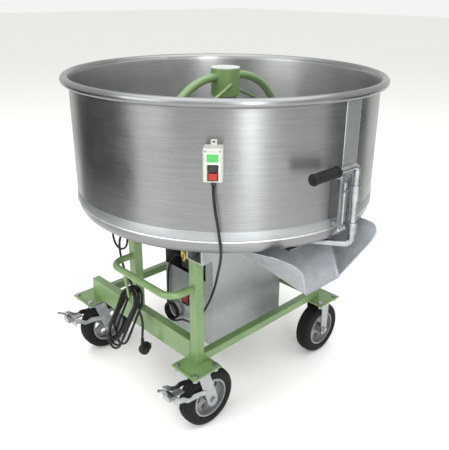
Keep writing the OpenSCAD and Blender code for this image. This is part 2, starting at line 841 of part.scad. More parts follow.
module swivel_fork(caster) {
    color(zinc) at_axis() translate([caster[0], caster[1], 0]) {
        fork_leg([[-21, crown_z], [23, crown_z], [57, 106], [57, 88], [47, 78], [28, 78], [17, 92]], trail);
        difference() {
            box([-27, -leg_y - leg_t, crown_z - 5], [27, leg_y + leg_t, crown_z]);
            translate([0, 0, crown_z - 6]) cylinder(r = 8 + fit_gap, h = 7);
        }
        for (s = [-1, 1]) translate([0, s * (leg_y + leg_t + 1.5), 0]) rotate([90, 0, 0])
            translate([0, 0, -1.5]) linear_extrude(3)
                polygon(strap);
        box([brake_x - 3, -leg_y - leg_t - 3, 158], [brake_x, leg_y + leg_t + 3, 188]);
        box([brake_x, -12, 170], [-62, 12, 175]);
        for (s = [-1, 1]) translate([0, s * 18, 0]) difference() {
            box([pin_x - 6, -1.5, pedal_z - 8], [brake_x - 3, 1.5, pedal_z + 6]);
            translate([pin_x, -2, pedal_z]) rotate([-90, 0, 0]) cylinder(r = pin_r, h = 4);
        }
        translate([pin_x, -22, pedal_z]) rotate([-90, 0, 0]) cylinder(r = pin_r, h = 44);
    }
}

module swivel_plates() {
    color(zinc) at_axis() for (c = [near_caster, left_caster]) translate([c[0], c[1], 0]) {
        difference() {
            box([-52, -52, top_plate_z], [52, 52, plate_top - plate_t]);
            bolt_spots([0, 0]) translate([0, 0, top_plate_z - 1]) cylinder(r = 5.5, h = 6);
        }
        translate([0, 0, crown_z + race_gap]) cylinder(r = 34, h = top_plate_z - crown_z - race_gap);
        translate([0, 0, 198]) cylinder(r = 8, h = 14);
        translate([0, 0, 198]) cylinder(r = 13, h = crown_z - 5 - race_gap - 198, $fn = 6);
    }
}

module brake_pedal(caster) {
    color(zinc) at_axis() translate([caster[0] + pin_x + 8, caster[1], 0]) {
        difference() {
            union() {
                box([-17, -16, pedal_z - 10], [-8, 16, pedal_z + 8]);
                translate([-8, -16, pedal_z]) rotate([-90, 0, 0]) cylinder(r = 8, h = 32);
            }
            translate([-8, -17, pedal_z]) rotate([-90, 0, 0]) cylinder(r = pin_r + fit_gap, h = 34);
        }
        bar(pedal_bend - 18 * [-sin(28), 0, cos(28)], pedal_bend, 9);
        translate(pedal_centre) rotate([90, 0, 0]) rotate(28)
            rotate_extrude(angle = 30, $fn = 96) translate([20, 0]) circle(d = 9, $fn = 32);
        bar(pedal_rise, pedal_rise + 22 * [-sin(58), 0, cos(58)], 9);
    }
}

module fixed_forks() {
    color(zinc) at_axis() for (c = [right_caster, back_caster]) translate([c[0], c[1], 0]) {
        difference() {
            box([-52, -52, top_plate_z], [52, 52, plate_top - plate_t]);
            bolt_spots([0, 0]) translate([0, 0, top_plate_z - 1]) cylinder(r = 5.5, h = 6);
        }
        fork_leg([[-22, top_plate_z], [22, top_plate_z], [16, 90], [9, 80], [-9, 80], [-16, 90]], 0);
    }
    color(zinc) for (c = [right_caster, back_caster]) axle(wheel_spot(c, false));
}

module near_fork() { swivel_fork(near_caster); }
module near_axle() { color(zinc) axle(wheel_spot(near_caster, true)); }
module near_pedal() { brake_pedal(near_caster); }
module near_rim() { wheel_rim(wheel_spot(near_caster, true)); }
module near_tyre() { tyre(wheel_spot(near_caster, true)); }
module left_fork() { swivel_fork(left_caster); }
module left_axle() { color(zinc) axle(wheel_spot(left_caster, true)); }
module left_pedal() { brake_pedal(left_caster); }
module left_rim() { wheel_rim(wheel_spot(left_caster, true)); }
module left_tyre() { tyre(wheel_spot(left_caster, true)); }
module right_rim() { wheel_rim(wheel_spot(right_caster, false)); }
module right_tyre() { tyre(wheel_spot(right_caster, false)); }
module back_rim() { wheel_rim(wheel_spot(back_caster, false)); }
module back_tyre() { tyre(wheel_spot(back_caster, false)); }

// Mains lead and switch lead

module mains_cord() {
    color(black) at_axis() {
        swept_tube(mains_route, cord_d, 8);
        swept_tube(plug_route, cord_d, 8);
    }
}

module mains_hank() {
    color(black) at_axis() translate(hank_top) rotate(hank_lean) rotate([90, 0, 90])
        linear_extrude(hank_t, center = true)
            for (part = [0, 1])
                if (part == 0)
                    translate([-hank_w / 2, -hank_l + hank_w / 2]) square([hank_w, hank_l - hank_w]);
                else
                    for (y = [-hank_w / 2, hank_w / 2 - hank_l]) translate([0, y]) circle(d = hank_w);
}

module mains_plug() {
    color(black) at_axis() translate(plug_spot) {
        translate([0, 0, -34]) cylinder(r1 = 8, r2 = 5, h = 34);
        translate([0, 0, -50]) rotate([0, 90, 30]) {
            cylinder(r = 19, h = 16);
            translate([0, 0, 16]) cylinder(r = 17.5, h = 17);
            for (s = [-1, 1]) translate([0, s * 9.5, 33]) cylinder(r = 2.4, h = 19);
        }
    }
}

module switch_cord() {
    color(black) at_axis() {
        swept_tube(switch_route, cord_d, 8);
        swept_tube(tail_route, cord_d, 8);
    }
}

module switch_coil() {
    color(black) at_axis() translate(coil_spot) rotate([0, 90, 0])
        rotate_extrude($fn = 64) translate([coil_r, 0]) square([cord_d, coil_w], center = true);
}

cross_beams();
side_rails();
posts();
caster_plates();
push_handle();
drum_brackets();
drum_wall();
drum_band();
drum_pan();
centre_column();
shaft_bearings();
gear_case();
gear_cover();
motor_body();
switch_panel();
housing_near_panel();
housing_rear_panels();
housing_floor();
eye_bolt();
hex_bolts();
switch_base();
switch_cover();
black_fittings();
chute();
lever_bracket();
fixed_forks();
swivel_plates();
gate_lever();
lever_grip();
gate_plate();
agitator_hub();
hub_cap();
mixing_arms();
mixing_blades();
wall_scrapers();
drive_shaft();
output_gear();
pinion_shaft();
on_button();
off_button();
rocker_switch();
near_fork();
near_axle();
near_pedal();
near_rim();
near_tyre();
left_fork();
left_axle();
left_pedal();
left_rim();
left_tyre();
right_rim();
right_tyre();
back_rim();
back_tyre();
mains_cord();
mains_hank();
mains_plug();
switch_cord();
switch_coil();
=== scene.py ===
# Mobile pan mixer: open steel drum, arched mixing arms, lever gate and chute, tube frame on casters.
import math
import bmesh
import bpy
import numpy as np
from mathutils import Matrix, Vector


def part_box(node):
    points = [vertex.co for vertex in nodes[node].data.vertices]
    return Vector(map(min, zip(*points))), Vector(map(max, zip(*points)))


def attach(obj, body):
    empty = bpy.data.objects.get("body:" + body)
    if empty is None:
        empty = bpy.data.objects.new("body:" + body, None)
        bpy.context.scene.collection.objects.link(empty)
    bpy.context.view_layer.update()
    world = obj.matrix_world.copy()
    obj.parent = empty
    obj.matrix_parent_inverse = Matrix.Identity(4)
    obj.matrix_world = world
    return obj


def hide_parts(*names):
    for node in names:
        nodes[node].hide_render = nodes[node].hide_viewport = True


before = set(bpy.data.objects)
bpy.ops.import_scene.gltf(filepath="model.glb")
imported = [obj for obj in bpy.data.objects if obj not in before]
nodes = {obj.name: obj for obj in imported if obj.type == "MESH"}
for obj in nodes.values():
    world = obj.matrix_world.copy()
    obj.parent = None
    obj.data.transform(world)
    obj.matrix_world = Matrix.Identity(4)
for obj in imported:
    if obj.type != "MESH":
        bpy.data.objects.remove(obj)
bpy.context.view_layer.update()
print("CAD frame loaded")

axisY = 0.013  # the drum's axis, measured from the middle of the footprint
axisPoint = np.array([0.0, axisY, 0.0])

cameraSettings = {
    "place": (-1.336, -1.378, 1.341),
    "azimuth": 44.66,
    "down": 21.16,
    "roll": 0.65,
    "lens": 45.17,
    "shiftX": -0.0168,
    "shiftY": -0.0393,
}


def makeCamera(settings):
    # a camera from its place, its compass angle, how far it looks down and how far it leans
    azimuth, down, roll = (math.radians(settings[k]) for k in ("azimuth", "down", "roll"))
    level = math.cos(down)
    forward = Vector((level * math.sin(azimuth), level * math.cos(azimuth), -math.sin(down)))
    flatRight = Vector((math.cos(azimuth), -math.sin(azimuth), 0.0))
    flatUp = flatRight.cross(forward)
    right = flatRight * math.cos(roll) + flatUp * math.sin(roll)
    up = flatUp * math.cos(roll) - flatRight * math.sin(roll)
    data = bpy.data.cameras.new("camera")
    data.lens = settings["lens"]
    data.sensor_width = 36.0
    data.sensor_fit = "AUTO"
    data.shift_x = settings["shiftX"]
    data.shift_y = settings["shiftY"]
    data.clip_end = 60.0
    camera = bpy.data.objects.new("camera", data)
    bpy.context.collection.objects.link(camera)
    turn = Matrix((right, up, -forward)).transposed().to_4x4()
    camera.matrix_world = Matrix.Translation(Vector(settings["place"])) @ turn
    bpy.context.scene.camera = camera
    bpy.context.scene.view_settings.view_transform = "Standard"


makeCamera(cameraSettings)


def linear(hexText):
    # sRGB hex to the linear colour that shaders take
    values = [int(hexText[i:i + 2], 16) / 255 for i in (1, 3, 5)]
    return tuple(v / 12.92 if v <= 0.04045 else ((v + 0.055) / 1.055) ** 2.4 for v in values) + (1.0,)


def addNode(tree, kind, settings=None, links=None, out=0):
    # one shader node with its settings and links; the output that is asked for comes back
    node = tree.nodes.new("ShaderNode" + kind)
    for key, value in (settings or {}).items():
        if key == "stops":
            stops = node.color_ramp.elements
            for index, (position, colour) in enumerate(value):
                stop = stops[index] if index < 2 else stops.new(position)
                stop.position = position
                stop.color = linear(colour) if isinstance(colour, str) else (colour, colour, colour, 1.0)
        elif isinstance(key, int) or key in node.inputs:
            node.inputs[key].default_value = linear(value) if isinstance(value, str) else value
        else:
            setattr(node, key, value)
    for key, socket in (links or {}).items():
        tree.links.new(socket, node.inputs[key])
    return node.outputs[out] if len(node.outputs) else None


def startMaterial(name):
    material = bpy.data.materials.new(name)
    material.use_nodes = True
    material.node_tree.nodes.clear()
    return material, material.node_tree


def finishMaterial(tree, surface, links=None):
    # a Principled surface whose even values sit on its own sockets
    shader = addNode(tree, "BsdfPrincipled", surface, links)
    addNode(tree, "OutputMaterial", {}, {"Surface": shader})


mergeDistance = 0.000002  # metres: only points that coincide are merged


def newPiece(name, vertices, faces, material, body, slot, replaced=()):
    # a mesh piece with its doubles merged and its faces turned outwards, riding on a body
    mesh = bpy.data.meshes.new(name)
    points = np.asarray(vertices, float).reshape(-1, 3)
    mesh.from_pydata(points.tolist(), [], [list(map(int, f)) for f in faces])
    shell = bmesh.new()
    shell.from_mesh(mesh)
    bmesh.ops.remove_doubles(shell, verts=shell.verts, dist=mergeDistance)
    bmesh.ops.recalc_face_normals(shell, faces=shell.faces)
    shell.to_mesh(mesh)
    shell.free()
    mesh.update()
    piece = bpy.data.objects.new(name, mesh)
    bpy.context.collection.objects.link(piece)
    mesh.materials.append(material)
    mesh.polygons.foreach_set("use_smooth", np.full(len(mesh.polygons), True))
    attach(piece, body)
    if replaced:
        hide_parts(*replaced)
    return piece


def gridFaces(rows, columns, closeRows=False, closeColumns=False):
    # quads of a grid of rows x columns points, wrapped round where asked
    r = np.arange(rows if closeRows else rows - 1)[:, None]
    c = np.arange(columns if closeColumns else columns - 1)[None, :]
    r2, c2 = (r + 1) % rows, (c + 1) % columns
    quads = np.stack([r * columns + c, r * columns + c2, r2 * columns + c2, r2 * columns + c], axis=-1)
    return quads.reshape(-1, 4)


def spun(profile, turns, closed=True, height=None):
    # a profile of (radius, height) carried round the vertical axis: x = r cos a, y = r sin a
    profile = np.asarray(profile, float)
    after = np.roll(profile, -1, axis=0)
    if closed and np.sum(profile[:, 0] * after[:, 1] - after[:, 0] * profile[:, 1]) > 0:
        profile = profile[::-1]  # clockwise outlines give outward faces
    angle = np.linspace(0, 2 * math.pi, turns, endpoint=False)[:, None]
    radius = profile[None, :, 0] + (0 if height is None else height)
    level = profile[None, :, 1] + 0 * angle
    points = np.stack([radius * np.cos(angle), radius * np.sin(angle), level], axis=-1)
    return points, gridFaces(turns, len(profile), True, closed)


def smoothPath(points, step):
    # Catmull-Rom curve through the points, then even steps along it
    p = np.asarray(points, float)
    padded = np.vstack([2 * p[0] - p[1], p, 2 * p[-1] - p[-2]])
    t = np.linspace(0, 1, 24, endpoint=False)[:, None]
    parts = []
    for i in range(len(p) - 1):
        a, b, c, d = padded[i:i + 4]
        parts.append(0.5 * (2 * b + (c - a) * t + (2 * a - 5 * b + 4 * c - d) * t ** 2
                            + (3 * b - a - 3 * c + d) * t ** 3))
    line = np.vstack(parts + [p[-1:]])
    return evenSteps(line, step)


def evenSteps(line, step):
    # the same path with its points an even step apart, by distance along it
    along = np.concatenate([[0], np.cumsum(np.linalg.norm(np.diff(line, axis=0), axis=1))])
    count = max(int(round(along[-1] / step)), 2)
    target = np.linspace(0, along[-1], count + 1)
    return np.stack([np.interp(target, along, line[:, k]) for k in range(3)], axis=1)


def pathLength(line):
    return float(np.linalg.norm(np.diff(line, axis=0), axis=1).sum())


def sideways(line):
    # two directions across the path at each point, turned as little as possible from one to the next
    along = np.gradient(line, axis=0)
    along /= np.linalg.norm(along, axis=1)[:, None]
    side = np.zeros_like(along)
    start = np.cross(along[0], [0.31, 0.52, 0.8])
    side[0] = start / np.linalg.norm(start)
    for i in range(1, len(line)):
        s = side[i - 1] - along[i] * side[i - 1].dot(along[i])
        side[i] = s / np.linalg.norm(s)
    return side, np.cross(along, side)


def tubeSurface(line, radius, around):
    # circles of the given radius across the path: p + r (cos a . side + sin a . up), with closed ends
    line = np.asarray(line, float)
    side, up = sideways(line)
    radius = np.broadcast_to(radius, (len(line),))[:, None, None]
    angle = np.linspace(0, 2 * math.pi, around, endpoint=False)[None, :, None]
    points = line[:, None] + radius * (np.cos(angle) * side[:, None] + np.sin(angle) * up[:, None])
    faces = gridFaces(len(line), around, False, True).tolist()
    last = (len(line) - 1) * around
    faces.append(list(range(around))[::-1])
    faces.append([last + k for k in range(around)])
    return points.reshape(-1, 3), faces


def at(x, y, z):
    # millimetres from the drum's axis to metres in the shared frame
    return np.array([x / 1000, y / 1000 + axisY, z / 1000])


def moved(points, place, turn=None):
    # turned about the origin, then shifted
    points = np.asarray(points, float).reshape(-1, 3)
    if turn is not None:
        points = points @ np.asarray(turn, float).T
    return points + np.asarray(place, float)


def turnZ(degrees):
    # a turn about Z, as are turnX and turnY about theirs
    a = math.radians(degrees)
    return np.array([[math.cos(a), -math.sin(a), 0], [math.sin(a), math.cos(a), 0], [0, 0, 1.0]])


def turnX(degrees):
    a = math.radians(degrees)
    return np.array([[1.0, 0, 0], [0, math.cos(a), -math.sin(a)], [0, math.sin(a), math.cos(a)]])


def turnY(degrees):
    a = math.radians(degrees)
    return np.array([[math.cos(a), 0, math.sin(a)], [0, 1.0, 0], [-math.sin(a), 0, math.cos(a)]])


# The cords: the switch lead falls from the switch to the starter, the mains lead from the housing to its hank

cords = {
    "diameter": 0.008,
    "step": 0.006,
    "switchRoute": [
        (-397.9, -371.4, 861), (-397.5, -371.5, 840), (-395, -374, 800), (-390, -379, 755),
        (-382, -380, 705), (-366, -368, 660), (-348, -346, 615), (-328, -316, 565), (-312, -288, 510),
        (-302, -258, 450), (-292, -218, 385), (-276, -165, 320), (-252, -105, 266), (-224, -45, 228),
        (-208, 2, 208), (-208, 34, 188), (-205, 60, 176),
    ],
    "coilCentre": (-196, 80, 206),
    "coilRadius": 33,
    "coilTurns": 2,
    "tailRoute": [
        (-188, 113, 216), (-188, 112, 250), (-187, 110, 300), (-186, 107, 350), (-183, 102, 385),
        (-175, 94, 414), (-167, 78, 431), (-164, 64, 434), (-164, 52, 434),
    ],
    "mainsRoute": [
        (-120, 150, 600), (-120, 172, 600), (-140, 200, 604), (-190, 225, 618), (-250, 240, 622),
        (-302, 244, 600), (-330, 236, 550), (-342, 214, 500), (-346, 180, 480), (-348, 145, 490),
        (-350, 122, 512), (-352, 112, 545), (-362, 104, 566), (-378, 98, 574), (-394, 92, 564),
        (-402, 86, 540), (-404, 78, 500), (-404, 62, 462), (-404, 40, 434), (-404, 20, 418),
    ],
    "plugRoute": [
        (-417, -30, 352), (-413, -35, 325), (-410, -36, 298), (-410, -34, 270), (-410, -31, 250),
        (-410, -30, 236),
    ],
    "hankTop": (-405, 0, 412),
    "hankLean": (16, 16),
    "hankLength": 234,
    "hankHalf": 39,
    "hankLoops": [(-16.5, 0, 4, -4), (-8.2, 5, 20, 3), (0, 0, 0, 1), (8.3, 8, 36, 5), (16.5, 3, 10, -2)],
    "rounding": 6,
}


def coilPoints(settings):
    # a helix about X, from its lowest point: y = r sin a, z = -r cos a
    turns = settings["coilTurns"] + 0.25
    a = np.linspace(0, 1, int(24 * turns) + 1)
    angle, r = 2 * math.pi * turns * a, settings["coilRadius"]
    x = -8.4 + 8.4 * turns * a
    return np.stack([x, r * np.sin(angle), -r * np.cos(angle)], axis=1) + np.array(settings["coilCentre"])


def hankPoints(settings):
    # loops with straight sides and round ends, wound down the near side, each beside the last, then leant
    t = np.linspace(0, 1, 12, endpoint=False)
    spots = settings["hankLoops"]
    loops = []
    for turn, (x, inset, lift, swing) in enumerate(spots):
        r = settings["hankHalf"] - inset
        low = settings["hankLength"] - lift - r
        x1, inset1 = spots[min(turn + 1, len(spots) - 1)][:2]
        across = r + (inset - inset1) * t
        down = np.stack([0 * t + x, 0 * t - r, -r - (low - r) * t], axis=1)
        under = np.stack([0 * t + x, -r * np.cos(math.pi * t), -low - r * np.sin(math.pi * t)], axis=1)
        rise = np.stack([0 * t + x, 0 * t + r, -low + (low - r) * t], axis=1)
        over = math.pi * t
        high = np.stack([x + (x1 - x) * t, across * np.cos(over), -r + across * np.sin(over)], axis=1)
        loops += [part @ turnX(swing).T for part in (down, under, rise, high)]
    line = np.vstack([loops[3][6:] * [0, 1, 1] + [spots[0][0], 0, 0]] + loops[:-1] + [loops[-1][:6]])
    lean = turnY(settings["hankLean"][1]) @ turnX(settings["hankLean"][0])
    return line @ lean.T + np.array(settings["hankTop"])


def cordRoute(points, settings):
    # a smooth curve through the listed points
    line = smoothPath([at(*p) for p in points], settings["step"])
    for _ in range(settings["rounding"]):  # each pass eases the kinks where two stretches meet
        line[1:-1] = (line[:-2] + 2 * line[1:-1] + line[2:]) / 4
    return line


def makeCords(settings, material):
    d = settings["diameter"]
    switchLine = cordRoute([*settings["switchRoute"], *coilPoints(settings), *settings["tailRoute"]], settings)
    points, faces = tubeSurface(switchLine, d / 2, 16)
    switchLead = newPiece("switchLead", points, faces, material, "frame", "cord_rubber",
                          ("switch_cord", "switch_coil"))
    mainsLine = cordRoute([*settings["mainsRoute"], *hankPoints(settings), *settings["plugRoute"]], settings)
    points, faces = tubeSurface(mainsLine, d / 2, 16)
    mainsLead = newPiece("mainsLead", points, faces, material, "frame", "cord_rubber",
                         ("mains_cord", "mains_hank"))
    print("cords:", round(pathLength(switchLine), 3), "m and", round(pathLength(mainsLine), 3), "m")
    return switchLead, switchLine, mainsLead, mainsLine


# Materials, each named for what it is

def cloudyFinish(name, cloud, colours, shine, grain, relief, surface):
    # a slow cloud (scale, detail, roughness) drives colour and shine, a fine grain (scale, detail) the relief
    material, tree = startMaterial(name)
    coords = addNode(tree, "TexCoord", out="Object")
    slow, fine = (
        addNode(tree, "TexNoise", {"Scale": scale, "Detail": detail, "Roughness": rough}, {"Vector": coords})
        for scale, detail, rough in (cloud, (*grain, 0.55)))
    finishMaterial(tree, surface, {
        "Base Color": addNode(tree, "ValToRGB", {"stops": colours}, {"Fac": slow}),
        "Roughness": addNode(tree, "ValToRGB", {"stops": shine}, {"Fac": slow}),
        "Normal": addNode(tree, "Bump", {"Distance": relief[0], "Strength": relief[1]}, {"Height": fine}),
    })
    return material


def pvcSheath():
    # black PVC cord sheath: smooth, slightly waxy, dusty in places
    return cloudyFinish("pvcSheath", (55.0, 4.0, 0.55), [(0.42, "#080808"), (0.82, "#1a1a1a")],
                        [(0.3, 0.36), (0.8, 0.56)], (1400.0, 2.0), (0.00012, 0.5),
                        {"IOR": 1.53, "Specular IOR Level": 0.3})


def mouldedRubber():
    # black moulded rubber: matte, with a fine leathery skin of about 1 mm
    return cloudyFinish("mouldedRubber", (40.0, 4.0, 0.55), [(0.4, "#0a0a0a"), (0.8, "#1b1b1b")],
                        [(0.3, 0.5), (0.8, 0.7)], (900.0, 3.0), (0.0003, 0.6),
                        {"IOR": 1.52, "Specular IOR Level": 0.25})


def tyreRubber():
    # vulcanised tyre rubber: dark and matte, greyed by dust
    return cloudyFinish("tyreRubber", (26.0, 6.0, 0.62),
                        [(0.38, "#0b0b0b"), (0.62, "#151515"), (0.88, "#2c2b2a")],
                        [(0.3, 0.55), (0.8, 0.85)], (700.0, 3.0), (0.0004, 0.6),
                        {"IOR": 1.52, "Specular IOR Level": 0.2})


def greenEnamel():
    # sprayed enamel on steel tube: even green, low orange peel of about 4 mm, small scuffs
    material, tree = startMaterial("greenEnamel")
    coords = addNode(tree, "TexCoord", out="Object")
    cloud = addNode(tree, "TexNoise", {"Scale": 9.0, "Detail": 4.0, "Roughness": 0.55}, {"Vector": coords})
    fleck = addNode(tree, "TexNoise", {"Scale": 130.0, "Detail": 6.0, "Roughness": 0.7}, {"Vector": coords})
    patch = addNode(tree, "TexNoise", {"Scale": 12.0, "Detail": 2.0, "Roughness": 0.55}, {"Vector": coords})
    peel = addNode(tree, "TexNoise", {"Scale": 260.0, "Detail": 2.0, "Roughness": 0.55}, {"Vector": coords})
    base = addNode(tree, "ValToRGB", {"stops": [(0.3, "#5c7848"), (0.7, "#6a8754")]}, {"Fac": cloud})
    scuffs = addNode(tree, "ValToRGB", {"stops": [(0.66, 0.0), (0.74, 1.0)]}, {"Fac": fleck})
    patches = addNode(tree, "ValToRGB", {"stops": [(0.52, 0.0), (0.7, 0.7)]}, {"Fac": patch})
    worn = addNode(tree, "Math", {"operation": "MULTIPLY"}, {0: scuffs, 1: patches})
    finishMaterial(tree, {"IOR": 1.5, "Coat Weight": 0.4, "Coat Roughness": 0.14}, {
        "Base Color": addNode(tree, "Mix", {"data_type": "RGBA", 7: "#93a585"}, {0: worn, 6: base}, 2),
        "Roughness": addNode(tree, "ValToRGB", {"stops": [(0.2, 0.32), (0.8, 0.46)]}, {"Fac": cloud}),
        "Normal": addNode(tree, "Bump", {"Distance": 0.0003, "Strength": 0.35}, {"Height": peel}),
    })
    return material


def brushedStainless(name="brushedStainless", light="#949697", dark="#7b7d7e", low=0.26, high=0.42):
    # 304 sheet with a rolled brush finish: hairlines run round the drum, 1 mm apart as drawn so that they show
    # the default colours sit darker than bare stainless: painted shade standing in for the dark surroundings
    # the metal reflects
    material, tree = startMaterial(name)
    coords = addNode(tree, "TexCoord", out="Object")
    drawn = addNode(tree, "Mapping", {"Scale": (3.0, 3.0, 420.0)}, {"Vector": coords})
    lines = addNode(tree, "TexNoise", {"Scale": 2.2, "Detail": 5.0, "Roughness": 0.65}, {"Vector": drawn})
    haze = addNode(tree, "TexNoise", {"Scale": 5.0, "Detail": 5.0, "Roughness": 0.6}, {"Vector": coords})
    mixed = addNode(tree, "Math", {"operation": "MULTIPLY_ADD", 1: 0.35}, {0: lines, 2: haze})
    finishMaterial(tree, {"Metallic": 1.0, "Anisotropic": 0.7, "Anisotropic Rotation": 0.25}, {
        "Base Color": addNode(tree, "ValToRGB", {"stops": [(0.3, dark), (0.7, light)]}, {"Fac": lines}),
        "Roughness": addNode(tree, "ValToRGB", {"stops": [(0.45, low), (0.9, high)]}, {"Fac": mixed}),
        "Normal": addNode(tree, "Bump", {"Distance": 0.00012, "Strength": 0.35}, {"Height": lines}),
    })
    return material


def galvanisedSheet():
    # hot-dipped sheet: grey spangle about 12 mm across, dull
    material, tree = startMaterial("galvanisedSheet")
    coords = addNode(tree, "TexCoord", out="Object")
    spangle = addNode(tree, "TexVoronoi", {"Scale": 85.0, "Randomness": 1.0}, {"Vector": coords}, "Color")
    grey = addNode(tree, "RGBToBW", {}, {0: spangle})
    cloud = addNode(tree, "TexNoise", {"Scale": 7.0, "Detail": 4.0, "Roughness": 0.55}, {"Vector": coords})
    both = addNode(tree, "Math", {"operation": "MULTIPLY_ADD", 1: 0.3}, {0: grey, 2: cloud})
    finishMaterial(tree, {"Metallic": 0.85}, {
        "Base Color": addNode(tree, "ValToRGB", {"stops": [(0.35, "#9aa09f"), (0.95, "#acb1af")]},
                              {"Fac": both}),
        "Roughness": addNode(tree, "ValToRGB", {"stops": [(0.4, 0.38), (0.95, 0.56)]}, {"Fac": both}),
        "Normal": addNode(tree, "Bump", {"Distance": 0.00015, "Strength": 0.25}, {"Height": grey}),
    })
    return material


def zincPlate(name="zincPlate", light="#b7b9bc", dark="#94989c", metallic=1.0, low=0.24, high=0.46):
    # bright electroplated zinc: pale bluish metal, a little cloudy
    return cloudyFinish(name, (34.0, 5.0, 0.62), [(0.3, dark), (0.68, light)], [(0.25, low), (0.8, high)],
                        (420.0, 2.0), (0.0001, 0.4), {"Metallic": metallic})


def aluminiumPaint():
    # silver paint on a pressed steel rim: fine flake, satin
    material, tree = startMaterial("aluminiumPaint")
    coords = addNode(tree, "TexCoord", out="Object")
    flake = addNode(tree, "TexNoise", {"Scale": 900.0, "Detail": 2.0, "Roughness": 0.55}, {"Vector": coords})
    cloud = addNode(tree, "TexNoise", {"Scale": 30.0, "Detail": 4.0, "Roughness": 0.55}, {"Vector": coords})
    base = addNode(tree, "ValToRGB", {"stops": [(0.3, "#7f8284"), (0.7, "#9a9d9e")]}, {"Fac": cloud})
    glint = addNode(tree, "ValToRGB", {"stops": [(0.5, 0.0), (0.75, 0.5)]}, {"Fac": flake})
    finishMaterial(tree, {"Metallic": 0.75, "Coat Weight": 0.15}, {
        "Base Color": addNode(tree, "Mix", {"data_type": "RGBA", 7: "#bcbebe"}, {0: glint, 6: base}, 2),
        "Roughness": addNode(tree, "ValToRGB", {"stops": [(0.2, 0.36), (0.8, 0.55)]}, {"Fac": cloud}),
    })
    return material


def paintedCasting(name, dark, light):
    # paint over sand-cast iron: a pebbly skin of about 2 mm
    return cloudyFinish(name, (24.0, 4.0, 0.55), [(0.3, dark), (0.75, light)], [(0.2, 0.42), (0.8, 0.66)],
                        (480.0, 4.0), (0.0006, 0.7), {"IOR": 1.5})


def mouldedAbs(name, dark, light):
    # injection-moulded ABS with a fine spark-eroded grain
    return cloudyFinish(name, (45.0, 3.0, 0.55), [(0.3, dark), (0.7, light)], [(0.2, 0.38), (0.8, 0.52)],
                        (1100.0, 2.0), (0.00012, 0.5), {"IOR": 1.53})


def machinedSteel():
    # turned and ground steel with a film of oil: fine rings, a few to the millimetre
    material, tree = startMaterial("machinedSteel")
    coords = addNode(tree, "TexCoord", out="Object")
    drawn = addNode(tree, "Mapping", {"Scale": (60.0, 60.0, 900.0)}, {"Vector": coords})
    lines = addNode(tree, "TexNoise", {"Scale": 1.0, "Detail": 3.0, "Roughness": 0.55}, {"Vector": drawn})
    finishMaterial(tree, {"Metallic": 1.0}, {
        "Base Color": addNode(tree, "ValToRGB", {"stops": [(0.3, "#8b8d8f"), (0.7, "#a8aaac")]},
                              {"Fac": lines}),
        "Roughness": addNode(tree, "ValToRGB", {"stops": [(0.3, 0.22), (0.7, 0.36)]}, {"Fac": lines}),
    })
    return material


sheath = pvcSheath()
rubber = mouldedRubber()
tyreSkin = tyreRubber()
enamel = greenEnamel()
# lit and shaded copies of one stainless: the darker outer default is painted shade, the paler inside copy
# painted light
stainless = brushedStainless()
litInnerSteel = brushedStainless("brushedStainlessInsidePaintedLight", "#b9bab9", "#a3a4a4", 0.3, 0.48)
bandSteel = brushedStainless("satinStainlessBand", "#b4b8b9", "#9ea3a5", 0.46, 0.62)
galvanised = galvanisedSheet()
zinc = zincPlate()
yellowZinc = zincPlate("yellowChromateZinc", "#d9bf6a", "#b08f3c")
rimPaint = aluminiumPaint()
castingPaint = paintedCasting("greyCastingPaint", "#2c2f31", "#3b3e40")
motorPaint = paintedCasting("blackMotorPaint", "#101112", "#1d1e20")
greyAbs = mouldedAbs("lightGreyAbs", "#aeb1a9", "#babdb5")
capPlastic = mouldedAbs("paleGreyCap", "#a2a6a4", "#b3b6b4")
blackAbs = mouldedAbs("blackAbs", "#0f0f10", "#1b1b1c")
redAbs = mouldedAbs("redAbs", "#93150f", "#a82018")
greenLabel = mouldedAbs("greenLabel", "#3a9a47", "#48a956")
steel = machinedSteel()
print("materials ready")

switchLead, switchLine, mainsLead, mainsLine = makeCords(cords, sheath)

# CAD nodes that keep their own shape, with a finish and softened edges

nodeFinish = {
    "cross_beams": (enamel, 2.5), "side_rails": (enamel, 2.5), "posts": (enamel, 2.5),
    "caster_plates": (enamel, 0.8), "push_handle": (enamel, 0), "drum_brackets": (galvanised, 0.8),
    "drum_pan": (stainless, 0), "centre_column": (stainless, 0), "shaft_bearings": (steel, 0),
    "gear_case": (castingPaint, 3), "gear_cover": (castingPaint, 1.5), "motor_body": (motorPaint, 0.8),
    "switch_panel": (galvanised, 0.4), "housing_near_panel": (galvanised, 0.6),
    "housing_rear_panels": (galvanised, 0.6), "housing_floor": (galvanised, 0.5),
    "eye_bolt": (yellowZinc, 0), "hex_bolts": (zinc, 0.6), "black_fittings": (blackAbs, 0.5),
    "lever_bracket": (zinc, 0.8), "fixed_forks": (zinc, 0.8), "swivel_plates": (zinc, 0.8),
    "gate_lever": (zinc, 0), "gate_plate": (stainless, 0.5), "agitator_hub": (enamel, 1),
    "hub_cap": (capPlastic, 1), "mixing_arms": (enamel, 0), "mixing_blades": (enamel, 1),
    "wall_scrapers": (enamel, 0.8), "drive_shaft": (steel, 0.8), "output_gear": (steel, 0.3),
    "pinion_shaft": (steel, 0.3), "rocker_switch": (redAbs, 0.6), "near_fork": (zinc, 0.8),
    "left_fork": (zinc, 0.8), "near_axle": (zinc, 0.6), "left_axle": (zinc, 0.6), "near_pedal": (zinc, 0),
    "left_pedal": (zinc, 0), "switch_base": (greyAbs, 2), "switch_cover": (greyAbs, 2.5),
    "near_rim": (rimPaint, 0), "left_rim": (rimPaint, 0), "right_rim": (rimPaint, 0),
    "back_rim": (rimPaint, 0),
}


